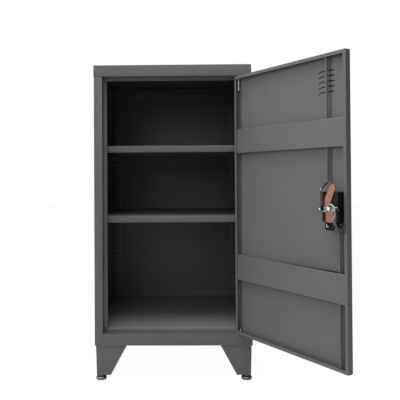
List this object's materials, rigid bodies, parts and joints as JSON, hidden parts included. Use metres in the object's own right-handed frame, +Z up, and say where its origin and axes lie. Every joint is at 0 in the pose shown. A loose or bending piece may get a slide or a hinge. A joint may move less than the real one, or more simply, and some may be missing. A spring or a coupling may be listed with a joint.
{
  "type": "locker cabinet",
  "caption": "Sheet steel locker cabinet on splayed legs, with an inset door on pivot pins, a lock with sliding rods, loose shelves on slotted posts and levelling feet.",
  "frame": {"origin": "middle of the body's underside, on the base plate", "axes": "+X to the right seen from the front, +Y from the front to the back, +Z up; the door stands open as stored"},
  "size_m": [0.8726, 1.0585, 1.2192],
  "materials": {
    "powder_coat": "satin dark grey powder coat with a fine texture",
    "zinc_plate": "bright zinc plate",
    "copper_plate": "copper-coloured plate, lightly tarnished",
    "black_enamel": "semi-gloss black",
    "bush_brass": "plain turned brass",
    "foot_steel": "dark oxide steel"
  },
  "bodies": {
    "cabinet": {"side_panel_left": "powder_coat", "side_panel_right": "powder_coat", "back_panel": "powder_coat", "base_plate": "powder_coat", "top_cap": "powder_coat", "sill_channel": "powder_coat", "header_channel": "powder_coat", "jamb_left": "powder_coat", "jamb_right": "powder_coat", "floor_pan": "powder_coat", "floor_upstand": "powder_coat", "slot_strip_front_left": "powder_coat", "slot_strip_front_right": "powder_coat", "slot_post_rear_left": "powder_coat", "slot_post_rear_right": "powder_coat", "ceiling_rail_left": "powder_coat", "ceiling_rail_right": "powder_coat", "wall_fixing_rail": "powder_coat", "hinge_bush_upper": "bush_brass", "hinge_pin_lower": "zinc_plate", "hinge_washer_lower": "bush_brass", "leg_front_left": "powder_coat", "leg_front_right": "powder_coat", "leg_rear_left": "powder_coat", "leg_rear_right": "powder_coat", "clip_lower_front_left": "zinc_plate", "clip_lower_front_right": "zinc_plate", "clip_lower_rear_left": "zinc_plate", "clip_lower_rear_right": "zinc_plate", "clip_upper_front_left": "zinc_plate", "clip_upper_front_right": "zinc_plate", "clip_upper_rear_left": "zinc_plate", "clip_upper_rear_right": "zinc_plate"},
    "door": {"door_panel": "powder_coat", "channel_upper": "powder_coat", "channel_lower": "powder_coat", "pin_bracket": "powder_coat", "pin_spring": "zinc_plate", "lock_case": "black_enamel", "escutcheon": "black_enamel"},
    "hinge_pin": {"hinge_pin_upper": "zinc_plate", "pin_lever": "zinc_plate"},
    "handle": {"outer_handle": "black_enamel", "spindle": "zinc_plate", "latch_cam": "copper_plate", "cross_arm": "zinc_plate", "spindle_nut": "zinc_plate"},
    "rod_upper": {"lock_rod_upper": "powder_coat"},
    "rod_lower": {"lock_rod_lower": "powder_coat"},
    "key_cylinder": {"key_cylinder": "zinc_plate"},
    "key_ring": {"key_ring": "black_enamel"},
    "shelf_upper": {"shelf_upper": "powder_coat"},
    "shelf_lower": {"shelf_lower": "powder_coat"},
    "foot_front_left": {"foot_front_left": "foot_steel"},
    "foot_front_right": {"foot_front_right": "foot_steel"},
    "foot_rear_left": {"foot_rear_left": "foot_steel"},
    "foot_rear_right": {"foot_rear_right": "foot_steel"}
  },
  "joints": [
    {"name": "door_swing", "type": "hinge", "parent": "cabinet", "child": "door", "pos_m": [0.25805, -0.297, 0.5], "axis": [0, 0, 1], "range_deg": [-123.5, 1.2]},
    {"name": "hinge_pin_pull", "type": "slide", "parent": "door", "child": "hinge_pin", "axis": [0, 0, -1], "range_m": [0, 0.0135], "stiffness_N_per_m": 300, "springref_m": -0.012, "deforming": ["pin_spring"]},
    {"name": "handle_turn", "type": "hinge", "parent": "door", "child": "handle", "pos_m": [0.53031, -0.69421, 0.546], "axis": [0.8339, 0.5519, 0], "range_deg": [0, 90]},
    {"name": "rod_upper_slide", "type": "slide", "parent": "door", "child": "rod_upper", "axis": [0, 0, 1], "range_m": [0, 0.028]},
    {"name": "rod_lower_slide", "type": "slide", "parent": "door", "child": "rod_lower", "axis": [0, 0, -1], "range_m": [0, 0.0281]},
    {"name": "key_turn", "type": "hinge", "parent": "door", "child": "key_cylinder", "pos_m": [0.53031, -0.69421, 0.488], "axis": [0.8339, 0.5519, 0], "range_deg": [0, 90]},
    {"name": "key_ring_swing", "type": "hinge", "parent": "door", "child": "key_ring", "pos_m": [0.49146, -0.70074, 0.507], "axis": [0.8339, 0.5519, 0], "range_deg": [-20, 20]},
    {"name": "shelf_upper_lift", "type": "slide", "parent": "cabinet", "child": "shelf_upper", "axis": [0, 0, 1], "range_m": [0, 0.02]},
    {"name": "shelf_lower_lift", "type": "slide", "parent": "cabinet", "child": "shelf_lower", "axis": [0, 0, 1], "range_m": [0, 0.02]},
    {"name": "foot_front_left_adjust", "type": "slide", "parent": "cabinet", "child": "foot_front_left", "axis": [0, 0, -1], "range_m": [0, 0.018]},
    {"name": "foot_front_right_adjust", "type": "slide", "parent": "cabinet", "child": "foot_front_right", "axis": [0, 0, -1], "range_m": [0, 0.018]},
    {"name": "foot_rear_left_adjust", "type": "slide", "parent": "cabinet", "child": "foot_rear_left", "axis": [0, 0, -1], "range_m": [0, 0.018]},
    {"name": "foot_rear_right_adjust", "type": "slide", "parent": "cabinet", "child": "foot_rear_right", "axis": [0, 0, -1], "range_m": [0, 0.018]}
  ],
  "couplings": [
    {"joint": "handle_turn", "follows": "rod_upper_slide", "rad_per_m": 56.09},
    {"joint": "rod_lower_slide", "follows": "rod_upper_slide", "ratio": 1}
  ]
}
